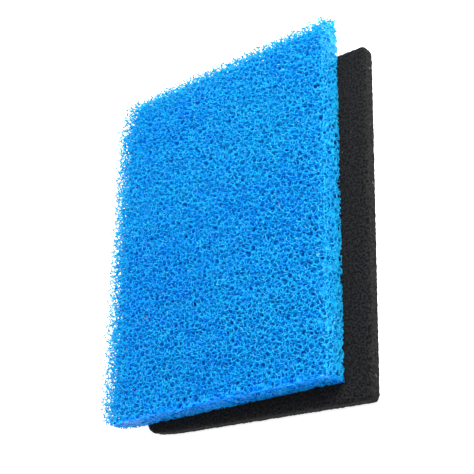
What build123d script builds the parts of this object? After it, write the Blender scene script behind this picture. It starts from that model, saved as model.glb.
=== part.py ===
"""Sponge filter media set: two loose foam pads that lie face to face in a pond filter box.

The fine pad is a thin die-cut sheet of small-celled foam and lies on the floor.
The coarse pad is a thicker sheet of open-celled foam, laid on top of the fine pad,
a little off its centre and a little turned. Nothing fastens one pad to the other.

Frame: origin at the centre of the fine pad's underside, +X along the pads' short side,
+Y along their long side, +Z up through both pads. All sizes are in millimetres.
"""
import os

from build123d import *

os.makedirs("parts", exist_ok=True)

# Driving dimensions
coarse_foot_width = 244.0   # along X, at the -Y end
coarse_head_width = 248.0   # along X, at the +Y end
coarse_length = 312.0       # along Y, on the top face
coarse_thickness = 23.0
fine_width = 230.5
fine_length = 299.5
fine_thickness = 12.5

# How the coarse pad lies on the fine one
coarse_turn = 0.8           # degrees, anticlockwise seen from above
corner_setback_x = 23.4     # from the fine pad's +X edge to the coarse pad's corner
corner_setback_y = 15.9     # from the fine pad's -Y edge to the coarse pad's corner

# How the coarse pad is cut
foot_skew = 5.0             # the -Y end runs this far out of square over the width
head_slant = 8.0            # the +Y end is sawn at a slant, longer at the underside
cut_corner_x = 16.0         # the -X +Y corner is cut off, these far along its two sides
cut_corner_y = 34.0
cut_corner_blend = 14.0     # radius where the cut meets the sides
foot_corner_radius = 12.0   # the other -X corner is rounded

# How the fine pad is cut
fine_corner_radius = 4.0
fine_edge_radius = 1.2      # a die-cut edge of soft foam rounds over
worn_corner_x = 30.0        # the -X -Y corner is eased, these far along its two sides
worn_corner_y = 2.2
worn_corner_radius = 10.0

# The coarse pad's plane: its origin is the pad's +X -Y corner, where the two pads are placed
coarse_corner_x = fine_width / 2 - corner_setback_x
coarse_corner_y = -fine_length / 2 + corner_setback_y
coarse_plane = Plane(
    origin=(coarse_corner_x, coarse_corner_y, fine_thickness),
    x_dir=Vector(1, 0, 0).rotate(Axis.Z, coarse_turn),
    z_dir=(0, 0, 1),
)


# Fine foam pad: a thin slab with rounded corners and softly rounded edges
with BuildPart() as fine_foam_pad:
    with BuildSketch(Plane.XY) as fine_outline:
        with BuildLine():
            Polyline(
                (fine_width / 2, -fine_length / 2),
                (fine_width / 2, fine_length / 2),
                (-fine_width / 2, fine_length / 2),
                (-fine_width / 2, -fine_length / 2 + worn_corner_y),
                (-fine_width / 2 + worn_corner_x, -fine_length / 2),
                close=True,
            )
        make_face()
        fillet(fine_outline.vertices().group_by(Axis.X)[0].sort_by(Axis.Y)[0], worn_corner_radius)
        side_corners = fine_outline.vertices().group_by(Axis.X)[-1]
        head_corner = fine_outline.vertices().group_by(Axis.Y)[-1].sort_by(Axis.X)[0]
        fillet([head_corner, *side_corners], fine_corner_radius)
    extrude(amount=fine_thickness)
    rims = fine_foam_pad.faces().filter_by(Axis.Z).edges()
    fillet(rims, fine_edge_radius)

fine_foam_pad.part.label = "fine_foam_pad"
export_step(fine_foam_pad.part, "parts/fine_foam_pad.step")


# Coarse foam pad: a thick slab with one corner cut off, its +Y end sawn at a slant
with BuildPart() as coarse_foam_pad:
    with BuildSketch(coarse_plane) as outline:
        with BuildLine():
            Polyline(
                (0, 0),
                (0, coarse_length + head_slant),
                (-coarse_head_width + cut_corner_x, coarse_length + head_slant),
                (-coarse_head_width, coarse_length + head_slant - cut_corner_y),
                (-coarse_foot_width, -foot_skew),
                close=True,
            )
        make_face()
        side_corner, _, head_corner = outline.vertices().sort_by(Axis.X)[:3]
        fillet([side_corner, head_corner], cut_corner_blend)
        fillet(outline.vertices().sort_by(Axis.Y)[0], foot_corner_radius)
    extrude(amount=coarse_thickness)
    slant_plane = Plane(
        origin=coarse_plane.from_local_coords((0, coarse_length, coarse_thickness)),
        x_dir=coarse_plane.x_dir,
        z_dir=coarse_plane.y_dir * coarse_thickness + coarse_plane.z_dir * head_slant,
    )
    split(bisect_by=slant_plane, keep=Keep.BOTTOM)

coarse_foam_pad.part.label = "coarse_foam_pad"
export_step(coarse_foam_pad.part, "parts/coarse_foam_pad.step")
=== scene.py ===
"""Two loose foam filter pads: an open-celled blue one lying on a fine-celled black one."""

import math
from itertools import combinations

import bmesh
import bpy
import numpy as np
from bpy.props import FloatProperty, FloatVectorProperty, IntProperty, PointerProperty, StringProperty
from mathutils import Euler, Matrix, Vector, noise


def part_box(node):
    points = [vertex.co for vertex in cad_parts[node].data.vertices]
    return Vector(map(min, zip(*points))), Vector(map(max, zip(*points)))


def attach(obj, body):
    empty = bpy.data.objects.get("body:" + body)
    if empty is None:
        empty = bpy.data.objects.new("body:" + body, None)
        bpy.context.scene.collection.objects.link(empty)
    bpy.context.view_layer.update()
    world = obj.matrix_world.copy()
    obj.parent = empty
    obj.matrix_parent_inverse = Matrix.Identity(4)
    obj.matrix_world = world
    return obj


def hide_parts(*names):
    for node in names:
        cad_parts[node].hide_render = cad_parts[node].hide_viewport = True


bl_info = {
    "name": "Foam filter pads",
    "version": (1, 0, 0),
    "blender": (4, 5, 0),
    "location": "3D View > Sidebar > Foam pads",
    "description": "Builds a coarse and a fine foam filter pad on their frame",
    "category": "Add Mesh",
}

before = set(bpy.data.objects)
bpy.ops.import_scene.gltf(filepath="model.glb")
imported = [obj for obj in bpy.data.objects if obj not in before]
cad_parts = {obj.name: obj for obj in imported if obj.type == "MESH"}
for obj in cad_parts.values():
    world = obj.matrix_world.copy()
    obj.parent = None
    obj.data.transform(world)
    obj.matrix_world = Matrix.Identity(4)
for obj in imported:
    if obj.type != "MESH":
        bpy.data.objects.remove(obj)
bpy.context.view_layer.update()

MM = 0.001
COARSE_NODE = "coarse_foam_pad"
FINE_NODE = "fine_foam_pad"

STREAK = 11 * MM     # width of a streak of dye in the blue foam
CLOUD = 90 * MM      # width of a paler or deeper part of the blue pad
CLOUD_SHARE = 0.4    # how much the clouds count beside the streaks
DYE_RANGE = (0.45, 0.82)      # noise values that give the deep colour and the full colour
THROUGH = 0.66       # share of the light that passes through a blue strand
GRAINS_PER_CELL = 0.8
GRAIN_RANGE = (0.4, 0.6)      # noise values that give the black foam's pores, darkened with painted shade, and its strands
PORE_DEPTH = 0.4 * MM         # depth of the relief of the black foam's cells
PAINTED_GLINT_SHARE = 0.001           # share of the black foam's cells that carry a painted glint
GROOVE_SLOPE = 2.5            # how steeply the black foam dips between two lumps
FLOOR_EDGE = 20.0             # metres, well past what the camera sees
LIGHT_BOUNCES = 10            # from strand to strand, deep into the blue foam


# ---------------------------------------------------------------- shared tools

def linear(hex_colour):
    """A linear RGBA colour from an sRGB hex string such as "1E96E6"."""
    channels = [int(hex_colour[i:i + 2], 16) / 255 for i in (0, 2, 4)]
    return [c / 12.92 if c <= 0.04045 else ((c + 0.055) / 1.055) ** 2.4 for c in channels] + [1.0]


def add_node(tree, kind, settings=None, **links):
    """Adds a node, sets its properties and sockets, and links the sockets given a source."""
    node = tree.nodes.new(kind)
    for name, value in (settings or {}).items():
        if name in node.inputs:
            node.inputs[name].default_value = value
        else:
            setattr(node, name, value)
    for name, source in links.items():
        tree.links.new(source, node.inputs[name.replace("_", " ")])
    return node


def new_material(name):
    """An empty node material, its tree and its Principled shader."""
    material = bpy.data.materials.new(name)
    material.use_nodes = True
    return material, material.node_tree, material.node_tree.nodes["Principled BSDF"]


def show(mesh_object, body, node):
    """Puts a finished pad in the scene in place of its CAD solid."""
    bpy.context.collection.objects.link(mesh_object)
    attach(mesh_object, body)
    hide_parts(node)


# ---------------------------------------------------------------- open-cell foam

# A node of the foam is a place where four bubbles meet, and each two of the four share a window there.
PAIRS = ((0, 1), (0, 2), (0, 3), (1, 2), (1, 3), (2, 3))
PAIR_NUMBER = {pair: number for number, pair in enumerate(PAIRS)}
SPREAD_STEPS = 4      # pushes that even out the bubbles
RELAX_STEPS = 2       # pulls that even out the struts
FLIP = [0, 2, 1]      # turns a triangle or a ring of three inside out
CROWDED = 1.25        # mean gaps under which two bubbles push each other apart
PUSH = 0.12           # share of the crowding that one push undoes
NEIGHBOURS = 2.3      # mean gaps within which bubbles may meet
BUBBLE_REACH = 1.3    # most mean gaps from a node to its four bubbles
SHARPEST = 0.3        # least squared sine of half a corner, so that a sharp corner stays short
GIRTH_SPREAD = 0.22   # how much thickness varies from node to node
TINY = 1e-9           # keeps rounding out of a comparison and zero out of a division
FACING = 0.9          # how nearly a flat faces its axis: the foot, the +X side and the underside
TORN_X, TORN_Y = 0.5, 0.8     # how nearly a torn flat faces -X or +Y, cut corner and curves included
TORN_ZONE = 1.5       # skins deep that nodes are left out along the torn sides
SIDE_ZONE = 2         # skins deep that strands are thicker, thinner or tinted with painted shade
SINK = 0.4            # strut radii that a drawn node lies below its flat
ROOM = 0.42           # most of a strut's length that a node's corner takes
THICKER, THINNER = 0.3, 0.25  # change of girth along the drawn sides and along the torn ones
STUB = 0.02           # least share that stays of a strand cut at a flat


def bubble_centres(count, side, rng):
    """Points spread evenly but irregularly through a repeating cube, like bubbles in rising foam."""
    points = rng.random((count, 3)) * side
    gap = (side ** 3 / count) ** (1 / 3)
    for _ in range(SPREAD_STEPS):
        apart = points[:, None] - points[None]
        apart -= side * np.round(apart / side)
        distance = np.linalg.norm(apart, axis=-1)
        np.fill_diagonal(distance, np.inf)
        push = np.clip(CROWDED * gap - distance, 0, None)
        points = (points + PUSH * (apart * (push / distance)[..., None]).sum(1)) % side
    return points


def meeting_points(points, side):
    """Every place where four bubbles meet: the four, the cube copy each lies in, and the place."""
    gap = (side ** 3 / len(points)) ** (1 / 3)
    bubbles, copies, places = [], [], []
    for i, here in enumerate(points):
        away = points - here
        copy = -np.round(away / side).astype(int)
        away = away + side * copy
        close = np.linalg.norm(away, axis=1) < NEIGHBOURS * gap
        near = np.where(close & (np.arange(len(points)) != i))[0]
        later = near[near > i]
        if len(later) < 3:
            continue
        trio = later[np.array(list(combinations(range(len(later)), 3)))]
        corners = away[trio]
        solid = abs(np.linalg.det(corners)) > TINY * gap ** 3
        trio, corners = trio[solid], corners[solid]
        centre = np.linalg.solve(corners, (corners ** 2).sum(-1, keepdims=True) / 2)[..., 0]
        reach = (centre ** 2).sum(-1)
        small = reach < (BUBBLE_REACH * gap) ** 2
        trio, centre, reach = trio[small], centre[small], reach[small]
        clear = ((centre[:, None] - away[near][None]) ** 2).sum(-1) > reach[:, None] * (1 - TINY)
        clear |= (near[None, :, None] == trio[:, None, :]).any(-1)
        trio, centre = trio[clear.all(1)], centre[clear.all(1)]
        four = np.column_stack([np.full(len(trio), i), trio])
        bubbles.append(four)
        copies.append(copy[four])
        places.append(here + centre)
    return np.concatenate(bubbles), np.concatenate(copies), np.concatenate(places)


def match_struts(bubbles, copies):
    """The two ends of every strut: it joins two nodes that have three bubbles in common."""
    waiting, struts = {}, []
    for node, (four, copy) in enumerate(zip(bubbles.tolist(), copies.tolist())):
        for drop in range(4):
            trio = sorted((k for k in range(4) if k != drop), key=lambda k: four[k])
            base = copy[trio[0]]
            key = tuple(four[k] for k in trio) + tuple(
                copy[k][axis] - base[axis] for k in trio[1:] for axis in range(3))
            corners = [PAIR_NUMBER[tuple(sorted(pair))] for pair in zip(trio, trio[1:] + trio[:1])]
            end = {"node": node, "slot": drop, "base": base, "corners": corners}
            if key in waiting:
                struts.append((waiting.pop(key), end))
            else:
                waiting[key] = end
    return {name: np.array([[end[name] for end in strut] for strut in struts])
            for name in ("node", "slot", "base", "corners")}


def window_fans(bubbles, copies, places, centres, side):
    """The window between each two bubbles as a fan of triangles: its number, nodes, corners, copies."""
    windows = {}
    for node, (four, copy) in enumerate(zip(bubbles.tolist(), copies.tolist())):
        for corner, pair in enumerate(PAIRS):
            one, two = sorted(pair, key=lambda k: four[k])
            across = tuple(b - a for a, b in zip(copy[one], copy[two]))
            shift = [-step for step in copy[one]]
            windows.setdefault((four[one], four[two], across), []).append((node, corner, shift))
    fans = []
    for number, ((one, two, across), members) in enumerate(windows.items()):
        spots = np.array([places[node] + side * np.array(shift) for node, _, shift in members])
        axis = Vector(centres[two] + side * np.array(across) - centres[one])
        flat = (spots - spots.mean(0)) @ np.array(axis.to_track_quat("Z", "X").to_matrix())
        ring = [members[k] for k in np.argsort(np.arctan2(flat[:, 1], flat[:, 0]))]
        fans += [(number, *zip(ring[0], ring[k], ring[k + 1])) for k in range(1, len(ring) - 1)]
    return [np.array(column) for column in zip(*fans)]


def foam_block(count, side, seed):
    """A repeating cube of open-cell foam: its nodes, its struts and its windows.

    A node has four struts and six corners, one in each window between two of its four bubbles.
    A strut joins three corners of one node to three corners of another."""
    rng = np.random.default_rng(seed)
    centres = bubble_centres(count, side, rng)
    bubbles, copies, places = meeting_points(centres, side)
    struts = match_struts(bubbles, copies)
    first, second = struts["node"].T
    first_slot, second_slot = struts["slot"].T
    shift = struts["base"][:, 0] - struts["base"][:, 1]
    first_corners, second_corners = struts["corners"][:, 0].copy(), struts["corners"][:, 1].copy()
    other = np.zeros((len(places), 4), int)
    other_shift = np.zeros((len(places), 4, 3))
    other[first, first_slot], other_shift[first, first_slot] = second, shift
    other[second, second_slot], other_shift[second, second_slot] = first, -shift
    for _ in range(RELAX_STEPS):
        places = 0.5 * places + 0.5 * (places[other] + side * other_shift).mean(1)
    ways = places[other] + side * other_shift - places[:, None]
    lengths = np.linalg.norm(ways, axis=-1)
    units = ways / lengths[..., None]
    corner_ways = np.zeros((len(places), 6, 3))
    corner_room = np.zeros((len(places), 6))
    for number, pair in enumerate(PAIRS):
        along = [slot for slot in range(4) if slot not in pair]
        bisector = units[:, along[0]] + units[:, along[1]]
        size = np.linalg.norm(bisector, axis=-1, keepdims=True)
        half_sine = np.sqrt(np.clip(1 - size ** 2 / 4, SHARPEST, 1))
        corner_ways[:, number] = bisector / np.maximum(size, 1e-3) / half_sine
        corner_room[:, number] = lengths[:, along].min(1)
    girth = 1 + GIRTH_SPREAD * rng.standard_normal(len(places)).clip(-2, 2)
    tips = corner_ways * corner_room[..., None]
    ring = np.take_along_axis(tips[first], first_corners[..., None], 1)
    along = places[second] + side * shift - places[first]
    facing = np.einsum("ij,ij->i", np.cross(ring[:, 1] - ring[:, 0], ring[:, 2] - ring[:, 0]), along) > 0
    first_corners[facing] = first_corners[facing][:, FLIP]
    second_corners[facing] = second_corners[facing][:, FLIP]
    webs = [[PAIR_NUMBER[tuple(sorted((c, d)))] for d in range(4) if d != c] for c in range(4)]
    webs = np.repeat(np.array([webs]), len(places), 0)
    web = np.take_along_axis(tips[:, None], webs[..., None], 2)
    normal = np.cross(web[:, :, 1] - web[:, :, 0], web[:, :, 2] - web[:, :, 0])
    inward = np.einsum("ijk,ijk->ij", normal, web.mean(2)) < 0
    webs[inward] = webs[inward][:, FLIP]
    return {
        "side": side, "places": places, "first": first, "second": second, "shift": shift,
        "first_corners": first_corners, "second_corners": second_corners, "webs": webs,
        "corner_ways": corner_ways, "corner_room": corner_room, "girth": girth,
        "fans": window_fans(bubbles, copies, places, centres, side),
    }


def solid_planes(node):
    """The outward normal and the offset of every flat of a convex CAD solid."""
    found = {}
    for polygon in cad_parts[node].data.polygons:
        key = tuple(round(part, 3) for part in polygon.normal)
        if key not in found or polygon.area > found[key][2]:
            found[key] = (polygon.normal.copy(), polygon.normal.dot(polygon.center), polygon.area)
    return np.array([flat[0] for flat in found.values()]), np.array([flat[1] for flat in found.values()])


def heights(points, normals, offsets):
    """How far each point stands out of each flat; below 0 is inside."""
    return points @ normals.T - offsets


def box_corners(low, high):
    """The eight corners of a box."""
    return np.array([(x, y, z) for x in (low[0], high[0]) for y in (low[1], high[1])
                     for z in (low[2], high[2])])


def tube_sides(ring_a, ring_b):
    """Two triangles for each of the three sides between two rings of three."""
    sides = []
    for k in range(3):
        n = (k + 1) % 3
        sides.append(np.column_stack([ring_a[:, k], ring_b[:, k], ring_b[:, n]]))
        sides.append(np.column_stack([ring_a[:, k], ring_b[:, n], ring_a[:, n]]))
    return np.concatenate(sides)


def in_copies(nodes, shifts, local, shape, count):
    """The number of each of a block's nodes in every copy of the block, and whether it exists there."""
    target = local[:, None] + shifts[None]
    exists = ((target >= 0) & (target < shape)).all(-1)
    copy = np.ravel_multi_index(target.clip(0, shape - 1).transpose(2, 0, 1), shape)
    return copy * count + nodes, exists


def foam_strands(block, settings, planes):
    """The strands that fill a convex solid: vertices, triangles, films and tints of painted light and
    shade, cut at its flats.

    The foot and the +X side are drawn flat: nodes up to a skin's depth away move into the flat of the
    side, and the foot's windows get film. Film near the underside stands in for denser strands than
    the mesh can hold. Nodes are left out at random along the torn sides."""
    normals, offsets = planes
    side = block["side"] * settings.cell
    radius, skin = settings.strut, settings.skin
    spin = np.array(Euler(settings.turn).to_matrix())
    ends = box_corners(*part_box(COARSE_NODE))
    middle = ends.mean(0)
    turned = (ends - middle) @ spin
    low = np.floor(turned.min(0) / side).astype(int) - 1
    high = np.ceil(turned.max(0) / side).astype(int) + 1
    grid = np.stack(np.meshgrid(*[np.arange(a, b) for a, b in zip(low, high)], indexing="ij"), -1)
    shape = np.array(grid.shape[:3])
    copies = grid.reshape(-1, 3)
    local = copies - low
    count = len(block["places"])
    places = (copies[:, None] * side + block["places"][None] * settings.cell).reshape(-1, 3)
    places = places @ spin.T + middle

    rng = np.random.default_rng(settings.seed)
    foot = normals[:, 1] < -FACING
    edge = normals[:, 0] > FACING
    under = normals[:, 2] < -FACING
    drawn = foot | edge
    torn = (normals[:, 0] < -TORN_X) | (normals[:, 1] > TORN_Y)
    side_zone = SIDE_ZONE * skin
    offsets = offsets + np.where(drawn, settings.bead, 0)
    above = heights(places, normals, offsets)
    keep = (above < np.where(drawn, skin, 0.0)).all(1)
    keep &= (above[:, torn].max(1) < -TORN_ZONE * skin) | (rng.random(len(places)) < settings.whiskers)
    # The tints are painted light and shade, weighed by nearness to a side: light through the thin torn
    # fringe, shade on its last strands, light on the +X side that faces the lamp, and shade on the foot.
    depths = {"tear": (torn, settings.fringe), "whisker": (torn, settings.whisker_shade_depth),
              "edge": (edge, settings.glow), "foot_skin_shade": (foot, side_zone)}
    tints = {name: np.clip(1 + above[:, flats].max(1) / depth, 0, 1)
             for name, (flats, depth) in depths.items()}
    near_drawn = above[:, drawn].max(1) > -side_zone
    near_tear = above[:, torn].max(1) > -side_zone
    for normal, offset in zip(normals[drawn], offsets[drawn]):
        over = places @ normal - offset + SINK * radius
        places = places - np.where(over > -skin / 2, over, 0)[:, None] * normal
    room = np.minimum(block["girth"][:, None] * radius, ROOM * block["corner_room"] * settings.cell)
    reach = (block["corner_ways"] * room[..., None]) @ spin.T
    swell = (1 + THICKER * near_drawn - THINNER * near_tear)[:, None, None]
    kept = np.where(keep)[0]
    number = np.full(len(places), -1)
    number[kept] = np.arange(len(kept))
    vertices = (places[kept][:, None] + swell[kept] * reach[kept % count]).reshape(-1, 3)

    second, held = in_copies(block["second"], block["shift"], local, shape, count)
    first = (np.arange(len(copies))[:, None] * count + block["first"])[held]
    second = second[held]
    strand = np.broadcast_to(np.arange(len(block["first"])), held.shape)[held]
    first_corners = block["first_corners"][strand]
    second_corners = block["second_corners"][strand]
    whole = keep[first] & keep[second]
    parts = [tube_sides(number[first[whole]][:, None] * 6 + first_corners[whole],
                        number[second[whole]][:, None] * 6 + second_corners[whole])]

    out, back = keep[first] & ~keep[second], keep[second] & ~keep[first]
    near = np.concatenate([first[out], second[back]])
    far = np.concatenate([second[out], first[back]])
    near_corners = np.concatenate([first_corners[out], second_corners[back][:, FLIP]])
    far_corners = np.concatenate([second_corners[out], first_corners[back][:, FLIP]])
    near_ring = number[near][:, None] * 6 + near_corners
    start = vertices[near_ring]
    end = places[far][:, None] + swell[far] * reach[(far % count)[:, None], far_corners]
    from_flat, to_flat = heights(start, normals, offsets), heights(end, normals, offsets)
    crossing = np.where(to_flat > 0, -from_flat / np.maximum(to_flat - from_flat, TINY), 1.0)
    share = np.clip(crossing.min(-1), STUB, 1.0)
    tip_ring = len(vertices) + np.arange(near_ring.size).reshape(-1, 3)
    vertices = np.concatenate([vertices, (start + (end - start) * share[..., None]).reshape(-1, 3)])
    parts += [tube_sides(near_ring, tip_ring), tip_ring[:, FLIP]]
    parts.append((np.arange(len(kept))[:, None, None] * 6 + block["webs"][kept % count]).reshape(-1, 3))

    window, nodes, corners, shifts = block["fans"]
    found = [in_copies(nodes[:, k], shifts[:, k], local, shape, count) for k in range(3)]
    film = rng.random((len(copies), window.max() + 1))[:, window]
    lining = above[:, under].max(1) > -settings.lining
    # The foot's painted-shade weight also fills the foot's windows with film.
    share_shut = settings.closed * lining + tints["foot_skin_shade"] + settings.edge_closed * near_drawn
    shut = film < share_shut[found[0][0]]
    for spot, exists in found:
        shut &= exists & keep[spot]
    films = np.stack([number[spot[shut]] * 6 + np.broadcast_to(corners[:, k], shut.shape)[shut]
                      for k, (spot, _) in enumerate(found)], -1)
    parts.append(films)
    for normal, offset in zip(normals, offsets):
        vertices -= np.clip(vertices @ normal - offset, 0, None)[:, None] * normal
    tints = {name: np.concatenate([np.repeat(tint[kept], 6), np.repeat(tint[near], 3)])
             for name, tint in tints.items()}
    return vertices, np.concatenate(parts), len(films), tints


def mesh_from(name, vertices, triangles):
    """A mesh made straight from arrays, because it has far too many struts for one call each."""
    mesh = bpy.data.meshes.new(name)
    mesh.vertices.add(len(vertices))
    mesh.vertices.foreach_set("co", vertices.astype(np.float32).ravel())
    mesh.loops.add(triangles.size)
    mesh.loops.foreach_set("vertex_index", triangles.astype(np.int32).ravel())
    mesh.polygons.add(len(triangles))
    mesh.polygons.foreach_set("loop_start", np.arange(0, triangles.size, 3, dtype=np.int32))
    mesh.update(calc_edges=True)
    return mesh


# ---------------------------------------------------------------- settings

class CoarsePadSettings(bpy.types.PropertyGroup):
    """Sizes and colours of the open-celled blue pad."""
    cell: FloatProperty(name="Cell spacing", default=4.9 * MM, subtype="DISTANCE", unit="LENGTH",
                        description="Edge of the cube that holds one bubble of the coarse foam")
    strut: FloatProperty(name="Strut radius", default=0.45 * MM, subtype="DISTANCE", unit="LENGTH",
                         description="From the middle of a strut to its corners")
    bubbles: IntProperty(name="Bubbles in a block", default=216,
                         description="Bubbles in the cube of foam that repeats through the pad")
    turn: FloatVectorProperty(name="Turn of the foam", default=(0.5, 0.35, 0.2), subtype="EULER",
                              description="Turns the repeating cubes so that no cut shows them in rows")
    lining: FloatProperty(name="Lining", default=10 * MM, subtype="DISTANCE", unit="LENGTH",
                          description="Height over the underside where film stands in for strands")
    closed: FloatProperty(name="Closed windows", default=0.6, subtype="FACTOR",
                          description="Share of the lining's windows that are filled with film")
    edge_closed: FloatProperty(name="Closed edge windows", default=0.12, subtype="FACTOR",
                               description="Share of the windows with film along the foot and the +X side")
    bead: FloatProperty(name="Bead", default=0.8 * MM, subtype="DISTANCE", unit="LENGTH",
                        description="How far strands stand out past the CAD foot and +X side")
    # The paler foam along the +X side is painted light, for the side that faces the lamp.
    glow: FloatProperty(name="Bright edge", default=34 * MM, subtype="DISTANCE", unit="LENGTH",
                        description="Depth of the paler foam along the +X side")
    # The paler foam along the torn sides is painted light coming through the thin fringe.
    fringe: FloatProperty(name="Fringe", default=24 * MM, subtype="DISTANCE", unit="LENGTH",
                          description="Depth of the paler foam along the torn sides")
    skin: FloatProperty(name="Skin", default=3.0 * MM, subtype="DISTANCE", unit="LENGTH",
                        description="Depth of foam drawn flat into the foot and the +X side")
    # The duller last strands of the torn sides carry painted shade.
    whisker_shade_depth: FloatProperty(name="Whisker depth", default=5 * MM, subtype="DISTANCE", unit="LENGTH",
                                 description="Depth of the duller strands at the torn sides")
    whiskers: FloatProperty(name="Whiskers", default=0.6, subtype="FACTOR",
                            description="Share of the foam's nodes left along the torn sides")
    seed: IntProperty(name="Seed", default=7, description="Start of the random bubble pattern")
    colour: StringProperty(name="Colour", default="20D7FF", description="sRGB hex of the blue foam")
    deep_colour: StringProperty(name="Deep colour", default="0ABFFF",
                                description="sRGB hex of its darker streaks")
    # The foot's deeper blue is painted shade, for the side turned away from the lamp.
    foot_shade_colour: StringProperty(name="Shaded foot colour", default="00BCFF",
                                description="sRGB hex of the foot, deepened by painted shade")
    # Painted light on the +X side, which faces the lamp.
    lit_side_colour: StringProperty(name="Edge colour", default="24D3FF",
                                description="sRGB hex of the foam along the +X side")
    # Painted light coming through the thin torn fringe.
    torn_light_colour: StringProperty(name="Torn colour", default="30D6F8",
                                description="sRGB hex of the foam near the torn sides, which looks pale")
    # Painted shade on the last strands of the torn sides.
    whisker_shade_colour: StringProperty(name="Whisker colour", default="38A8D0",
                                   description="sRGB hex of the last strands of the torn sides")


class FinePadSettings(bpy.types.PropertyGroup):
    """Sizes and colours of the fine-celled black pad."""
    mesh_step: FloatProperty(name="Mesh step", default=1.6 * MM, subtype="DISTANCE", unit="LENGTH",
                             description="Spacing of the points that carry the uneven surface")
    groove: FloatProperty(name="Groove depth", default=0.5 * MM, subtype="DISTANCE", unit="LENGTH",
                          description="How far the surface dips between two lumps")
    lump: FloatProperty(name="Lump spacing", default=2.6 * MM, subtype="DISTANCE", unit="LENGTH",
                        description="From one lump of the uneven surface to the next")
    bulge: FloatProperty(name="Bulge", default=1.0 * MM, subtype="DISTANCE", unit="LENGTH",
                         description="How far the sides stand out past the CAD solid")
    cell: FloatProperty(name="Cell", default=1.4 * MM, subtype="DISTANCE", unit="LENGTH",
                        description="Width of one open cell as drawn, wider than a real one")
    colour: StringProperty(name="Colour", default="1B1B1C", description="sRGB hex of the black foam")
    # The pore colour is painted shade inside the cells.
    pore_shade_colour: StringProperty(name="Pore colour", default="020202", description="sRGB hex inside a cell")
    # A few cells carry a painted glint of this colour.
    painted_glint_colour: StringProperty(name="Glint colour", default="4A4E52",
                                 description="sRGB hex of a few painted glints")


class StageSettings(bpy.types.PropertyGroup):
    """Camera, floor and lights."""
    azimuth: FloatProperty(name="Azimuth", default=57.84,
                           description="Degrees round from the -Y side towards +X")
    elevation: FloatProperty(name="Elevation", default=43.75, description="Degrees above the floor")
    roll: FloatProperty(name="Roll", default=-64.65, description="Degrees about the line of sight")
    distance: FloatProperty(name="Distance", default=0.8841, subtype="DISTANCE", unit="LENGTH",
                            description="From the camera to the point it aims at")
    aim: FloatVectorProperty(name="Aim", default=(-0.0120, 0.00575, 0.0200), subtype="TRANSLATION",
                             description="The point aimed at, from the middle of the underside")
    lens: FloatProperty(name="Lens", default=79.06, description="Focal length in mm on a 36 mm sensor")
    floor_glow: FloatProperty(name="Floor glow", default=0.4,
                              description="Light that a lit white paper sweep adds from below")
    sky: FloatProperty(name="Sky", default=1.1, description="Strength of the even light from all round")
    softbox_power: FloatProperty(name="Softbox power", default=66.0, unit="POWER",
                                 description="Power of the one large lamp")
    softbox_size: FloatProperty(name="Softbox size", default=1.2, subtype="DISTANCE", unit="LENGTH",
                                description="Edge of the square lamp")
    softbox_place: FloatVectorProperty(name="Softbox place", default=(0.9, 0.9, 1.2), subtype="TRANSLATION",
                                       description="Where the lamp stands; it faces the pads")


# ---------------------------------------------------------------- coarse pad

def blue_foam(settings):
    # Reticulated polyurethane foam, dyed blue: its strands are smooth and let light through, so the eye
    # sees bright blue with small glints and never a dark hole. The foot and the +X side look cut with a
    # hot wire and the other sides look torn, so the foot is smoother. Its deeper blue is painted shade, the
    # paler blue along the +X side and the torn sides is painted light, and the torn sides end in whiskers
    # darkened with painted shade. Uneven dye is drawn as soft streaks.
    material, tree, shader = new_material("blue_polyurethane_filter_foam")
    place = add_node(tree, "ShaderNodeTexCoord").outputs["Object"]
    streaks = add_node(tree, "ShaderNodeTexNoise", {"Scale": 1 / STREAK, "Detail": 2.0}, Vector=place)
    clouds = add_node(tree, "ShaderNodeTexNoise", {"Scale": 1 / CLOUD, "Detail": 0.0}, Vector=place)
    dye = add_node(tree, "ShaderNodeMath", {"operation": "MULTIPLY_ADD"})
    tree.links.new(clouds.outputs["Fac"], dye.inputs[0])
    dye.inputs[1].default_value = CLOUD_SHARE
    tree.links.new(streaks.outputs["Fac"], dye.inputs[2])
    ramp = add_node(tree, "ShaderNodeValToRGB", Fac=dye.outputs["Value"])
    ramp.color_ramp.elements[0].position = DYE_RANGE[0]
    ramp.color_ramp.elements[0].color = linear(settings.deep_colour)
    ramp.color_ramp.elements[1].position = DYE_RANGE[1]
    ramp.color_ramp.elements[1].color = linear(settings.colour)
    colour = ramp.outputs["Color"]
    # Painted light and shade mixed in by nearness to a side: light on the torn fringe, shade on its
    # whiskers, light on the +X side, shade on the foot.
    for name, tint in (("tear", settings.torn_light_colour), ("whisker", settings.whisker_shade_colour),
                       ("edge", settings.lit_side_colour), ("foot_skin_shade", settings.foot_shade_colour)):
        amount = add_node(tree, "ShaderNodeAttribute", {"attribute_name": name})
        mixed = add_node(tree, "ShaderNodeMix", {"data_type": "RGBA"}, Factor=amount.outputs["Fac"])
        tree.links.new(colour, mixed.inputs[6])
        mixed.inputs[7].default_value = linear(tint)
        colour = mixed.outputs[2]
    tree.links.new(colour, shader.inputs["Base Color"])
    shader.inputs["Roughness"].default_value = 0.15
    shader.inputs["IOR"].default_value = 1.55
    through = add_node(tree, "ShaderNodeBsdfTranslucent", Color=colour)
    both = add_node(tree, "ShaderNodeMixShader", {"Fac": THROUGH})
    tree.links.new(shader.outputs["BSDF"], both.inputs[1])
    tree.links.new(through.outputs["BSDF"], both.inputs[2])
    tree.links.new(both.outputs["Shader"], tree.nodes["Material Output"].inputs["Surface"])
    return material


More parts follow.
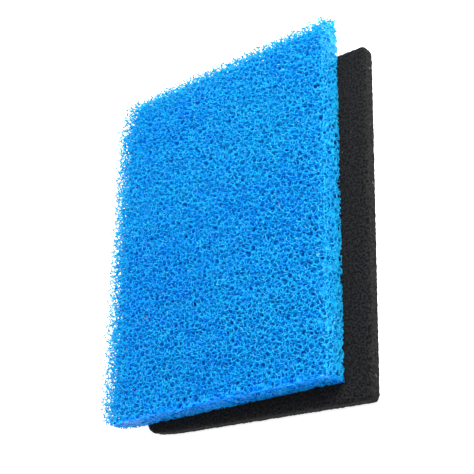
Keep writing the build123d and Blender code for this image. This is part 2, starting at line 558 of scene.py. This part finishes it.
class FOAM_OT_coarse_pad(bpy.types.Operator):
    """Make the open-celled blue pad"""
    bl_idname = "foam.coarse_pad"
    bl_label = "Coarse pad"

    def execute(self, context):
        settings = context.scene.coarse_pad
        block = foam_block(settings.bubbles, round(settings.bubbles ** (1 / 3)), settings.seed)
        vertices, triangles, films, tints = foam_strands(block, settings, solid_planes(COARSE_NODE))
        mesh = mesh_from("coarse_pad_foam", vertices, triangles)
        smooth = np.arange(len(triangles)) < len(triangles) - films
        mesh.polygons.foreach_set("use_smooth", smooth)
        for name, values in tints.items():
            mesh.attributes.new(name, "FLOAT", "POINT").data.foreach_set("value", values)
        pad = bpy.data.objects.new("coarse_pad_foam", mesh)
        mesh.materials.append(blue_foam(settings))
        show(pad, "coarse_pad", COARSE_NODE)
        return {"FINISHED"}


# ---------------------------------------------------------------- fine pad

def black_foam(settings):
    # Polyurethane foam with small cells, dyed black and taken as die-cut: matt charcoal strands round
    # pores darkened with painted shade, so the eye sees a fine pepper of grey on black, with a few painted
    # glints and no other shine. A usual fine grade, 45 pores per inch, has cells about 0.6 mm wide, too
    # fine to show, so they are drawn over twice that.
    material, tree, shader = new_material("black_polyurethane_filter_foam")
    place = add_node(tree, "ShaderNodeTexCoord").outputs["Object"]
    cells = add_node(tree, "ShaderNodeTexVoronoi", {"Scale": 1 / settings.cell}, Vector=place)
    grain = add_node(tree, "ShaderNodeTexNoise",
                     {"Scale": GRAINS_PER_CELL / settings.cell, "Detail": 1.0}, Vector=place)
    # The darker end of the ramp is painted shade in the pores.
    strands = add_node(tree, "ShaderNodeValToRGB", Fac=grain.outputs["Fac"])
    strands.color_ramp.elements[0].position = GRAIN_RANGE[0]
    strands.color_ramp.elements[0].color = linear(settings.pore_shade_colour)
    strands.color_ramp.elements[1].position = GRAIN_RANGE[1]
    strands.color_ramp.elements[1].color = linear(settings.colour)
    # A few cells, picked at random, get a painted glint.
    share = add_node(tree, "ShaderNodeSeparateColor", Color=cells.outputs["Color"])
    painted_glint_cells = add_node(tree, "ShaderNodeMath", {"operation": "GREATER_THAN"})
    tree.links.new(share.outputs["Red"], painted_glint_cells.inputs[0])
    painted_glint_cells.inputs[1].default_value = 1 - PAINTED_GLINT_SHARE
    mixed = add_node(tree, "ShaderNodeMix", {"data_type": "RGBA"})
    tree.links.new(painted_glint_cells.outputs["Value"], mixed.inputs["Factor"])
    tree.links.new(strands.outputs["Color"], mixed.inputs[6])
    mixed.inputs[7].default_value = linear(settings.painted_glint_colour)
    tree.links.new(mixed.outputs[2], shader.inputs["Base Color"])
    bump = add_node(tree, "ShaderNodeBump", {"Strength": 0.8, "Distance": PORE_DEPTH},
                    Height=cells.outputs["Distance"])
    tree.links.new(bump.outputs["Normal"], shader.inputs["Normal"])
    shader.inputs["Roughness"].default_value = 0.85
    shader.inputs["IOR"].default_value = 1.2
    return material


class FOAM_OT_fine_pad(bpy.types.Operator):
    """Make the fine-celled black pad"""
    bl_idname = "foam.fine_pad"
    bl_label = "Fine pad"

    def execute(self, context):
        settings = context.scene.fine_pad
        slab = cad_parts[FINE_NODE].data.copy()
        slab.materials.clear()
        work = bmesh.new()
        work.from_mesh(slab)
        bmesh.ops.remove_doubles(work, verts=work.verts, dist=0.01 * MM)
        work.to_mesh(slab)
        work.free()
        solid = bpy.data.objects.new("slab", slab)
        context.collection.objects.link(solid)
        remesh = solid.modifiers.new("remesh", "REMESH")
        remesh.mode = "VOXEL"
        remesh.voxel_size = settings.mesh_step
        context.view_layer.update()
        mesh = bpy.data.meshes.new_from_object(solid.evaluated_get(context.evaluated_depsgraph_get()))
        bpy.data.objects.remove(solid)
        mesh.name = "fine_pad_foam"
        points = np.zeros(len(mesh.vertices) * 3)
        outward = np.zeros(len(mesh.vertices) * 3)
        mesh.vertices.foreach_get("co", points)
        mesh.vertices.foreach_get("normal", outward)
        points, outward = points.reshape(-1, 3), outward.reshape(-1, 3)
        gaps = [noise.voronoi(Vector(point) / settings.lump)[0][:2] for point in points]
        dip = 1 - np.clip(GROOVE_SLOPE * np.diff(np.array(gaps), axis=1), 0, 1)
        points += settings.bulge * outward * (1, 1, 0) - settings.groove * dip * outward
        mesh.vertices.foreach_set("co", points.ravel())
        mesh.polygons.foreach_set("use_smooth", np.ones(len(mesh.polygons), bool))
        pad = bpy.data.objects.new("fine_pad_foam", mesh)
        mesh.materials.append(black_foam(settings))
        show(pad, "fine_pad", FINE_NODE)
        return {"FINISHED"}


# ---------------------------------------------------------------- stage

class FOAM_OT_stage(bpy.types.Operator):
    """Make the floor, the lights and the camera"""
    bl_idname = "foam.stage"
    bl_label = "Stage"

    def execute(self, context):
        settings = context.scene.stage
        bpy.ops.mesh.primitive_plane_add(size=FLOOR_EDGE)
        floor = context.object
        floor.name = "floor"
        # A matt white paper sweep, lit so evenly that it glows: the eye sees no horizon and a faint shadow.
        material, tree, shader = new_material("white_paper_sweep")
        shader.inputs["Base Color"].default_value = linear("FFFFFF")
        shader.inputs["Roughness"].default_value = 1.0
        shader.inputs["Emission Color"].default_value = (1, 1, 1, 1)
        shader.inputs["Emission Strength"].default_value = settings.floor_glow
        floor.data.materials.append(material)
        world = bpy.data.worlds.new("studio")
        context.scene.world = world
        world.use_nodes = True
        world.node_tree.nodes["Background"].inputs["Color"].default_value = (1, 1, 1, 1)
        world.node_tree.nodes["Background"].inputs["Strength"].default_value = settings.sky
        softbox = bpy.data.lights.new("softbox", "AREA")
        softbox.energy = settings.softbox_power
        softbox.size = settings.softbox_size
        key = bpy.data.objects.new("softbox", softbox)
        key.location = settings.softbox_place
        key.rotation_euler = (-Vector(key.location)).to_track_quat("-Z", "Y").to_euler()
        context.collection.objects.link(key)

        low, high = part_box(FINE_NODE)
        aim = Vector(((low[0] + high[0]) / 2, (low[1] + high[1]) / 2, low[2])) + Vector(settings.aim)
        a, e = math.radians(settings.azimuth), math.radians(settings.elevation)
        back = Vector((math.sin(a) * math.cos(e), -math.cos(a) * math.cos(e), math.sin(e)))
        camera = bpy.data.objects.new("camera", bpy.data.cameras.new("camera"))
        camera.data.lens = settings.lens
        camera.data.sensor_width = 36.0
        upright = (-back).to_track_quat("-Z", "Y").to_matrix().to_4x4()
        camera.matrix_world = (Matrix.Translation(aim + back * settings.distance) @ upright
                               @ Matrix.Rotation(math.radians(settings.roll), 4, "Z"))
        context.collection.objects.link(camera)
        context.scene.camera = camera
        context.scene.view_settings.view_transform = "Standard"
        context.scene.cycles.diffuse_bounces = LIGHT_BOUNCES
        return {"FINISHED"}


class FOAM_PT_panel(bpy.types.Panel):
    """Buttons for the pads"""
    bl_label = "Foam pads"
    bl_idname = "FOAM_PT_panel"
    bl_space_type = "VIEW_3D"
    bl_region_type = "UI"
    bl_category = "Foam pads"

    def draw(self, context):
        for operator in OPERATORS:
            self.layout.operator(operator.bl_idname)


GROUPS = {"coarse_pad": CoarsePadSettings, "fine_pad": FinePadSettings, "stage": StageSettings}
OPERATORS = (FOAM_OT_coarse_pad, FOAM_OT_fine_pad, FOAM_OT_stage)


def register():
    for kind in (*GROUPS.values(), *OPERATORS, FOAM_PT_panel):
        bpy.utils.register_class(kind)
    for name, group in GROUPS.items():
        setattr(bpy.types.Scene, name, PointerProperty(type=group))


def unregister():
    for name in GROUPS:
        delattr(bpy.types.Scene, name)
    for kind in (FOAM_PT_panel, *reversed(OPERATORS), *reversed(GROUPS.values())):
        bpy.utils.unregister_class(kind)


def main():
    register()
    bpy.ops.foam.coarse_pad()
    bpy.ops.foam.fine_pad()
    bpy.ops.foam.stage()


if __name__ == "__main__":
    main()
